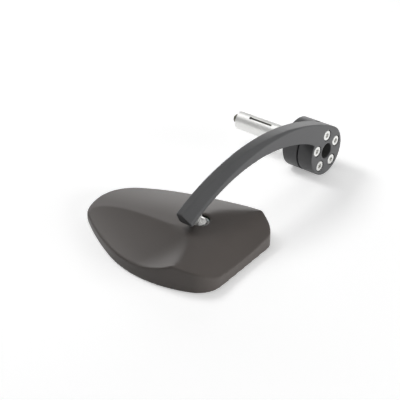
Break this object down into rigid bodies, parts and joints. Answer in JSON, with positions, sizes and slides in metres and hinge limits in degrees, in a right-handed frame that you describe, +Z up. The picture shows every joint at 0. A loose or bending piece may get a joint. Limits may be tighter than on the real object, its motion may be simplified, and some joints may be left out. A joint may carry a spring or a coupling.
{
  "type": "motorcycle bar end mirror",
  "caption": "Sculpted mirror head on a ball joint, carried by an arched arm whose round head is screwed to a collar with a slotted expander for a handlebar's open end.",
  "frame": {"origin": "centre of the expander sleeve's shoulder, against the collar's bar-side face, on the handlebar's axis", "axes": "+X along the handlebar's axis, out of the bar; +Z up with the mirror lying glass down; the arm reaches towards -Y"},
  "size_m": [0.1168, 0.1871, 0.0493],
  "materials": {
    "housing_coat": "satin dark grey-brown coat on cast aluminium",
    "arm_coat": "satin dark grey coat on cast aluminium",
    "mirror_glass": "silvered convex glass",
    "foam": "closed-cell foam tape",
    "bright_steel": "bright stainless steel",
    "plated_steel": "zinc plated steel",
    "dark_steel": "dark oxide steel",
    "turned_aluminium": "bright turned aluminium",
    "acetal": "smooth bearing plastic",
    "black_rubber": "black rubber"
  },
  "bodies": {
    "expander": {"expander_sleeve": "turned_aluminium"},
    "expander_nut": {"expander_cone_nut": "plated_steel"},
    "bolt": {"expander_bolt": "dark_steel"},
    "arm": {"mirror_arm": "arm_coat", "bar_end_collar": "arm_coat", "seam_gasket": "black_rubber", "head_screws": "bright_steel", "bolt_washer": "plated_steel"},
    "stud": {"ball_stud": "bright_steel"},
    "cup": {"ball_cup": "acetal"},
    "mirror_head": {"mirror_housing": "housing_coat", "mirror_glass": "mirror_glass", "glass_pad": "foam", "socket_clamp_plate": "plated_steel", "clamp_spring_washers": "plated_steel", "clamp_screws": "plated_steel"}
  },
  "joints": [
    {"name": "arm_swivel", "type": "hinge", "parent": "expander", "child": "arm", "pos_m": [0, 0, 0], "axis": [1, 0, 0], "continuous": true},
    {"name": "bolt_turn", "type": "hinge", "parent": "expander", "child": "bolt", "pos_m": [0, 0, 0], "axis": [-1, 0, 0], "range_deg": [0, 540]},
    {"name": "nut_slide", "type": "slide", "parent": "expander", "child": "expander_nut", "axis": [1, 0, 0], "range_m": [0, 0.0015]},
    {"name": "stud_turn", "type": "hinge", "parent": "arm", "child": "stud", "pos_m": [0.0195, -0.1235, -0.0012], "axis": [0, -0.4226, 0.9063], "range_deg": [-15, 15]},
    {"name": "mirror_tilt", "type": "hinge", "parent": "stud", "child": "cup", "pos_m": [0.0195, -0.1235, -0.0012], "axis": [1, 0, 0], "range_deg": [-5, 14]},
    {"name": "mirror_lean", "type": "hinge", "parent": "cup", "child": "mirror_head", "pos_m": [0.0195, -0.1235, -0.0012], "axis": [0, 1, 0], "range_deg": [-8, 8]}
  ],
  "couplings": [
    {"joint": "nut_slide", "follows": "bolt_turn", "m_per_rad": 0.000159}
  ]
}
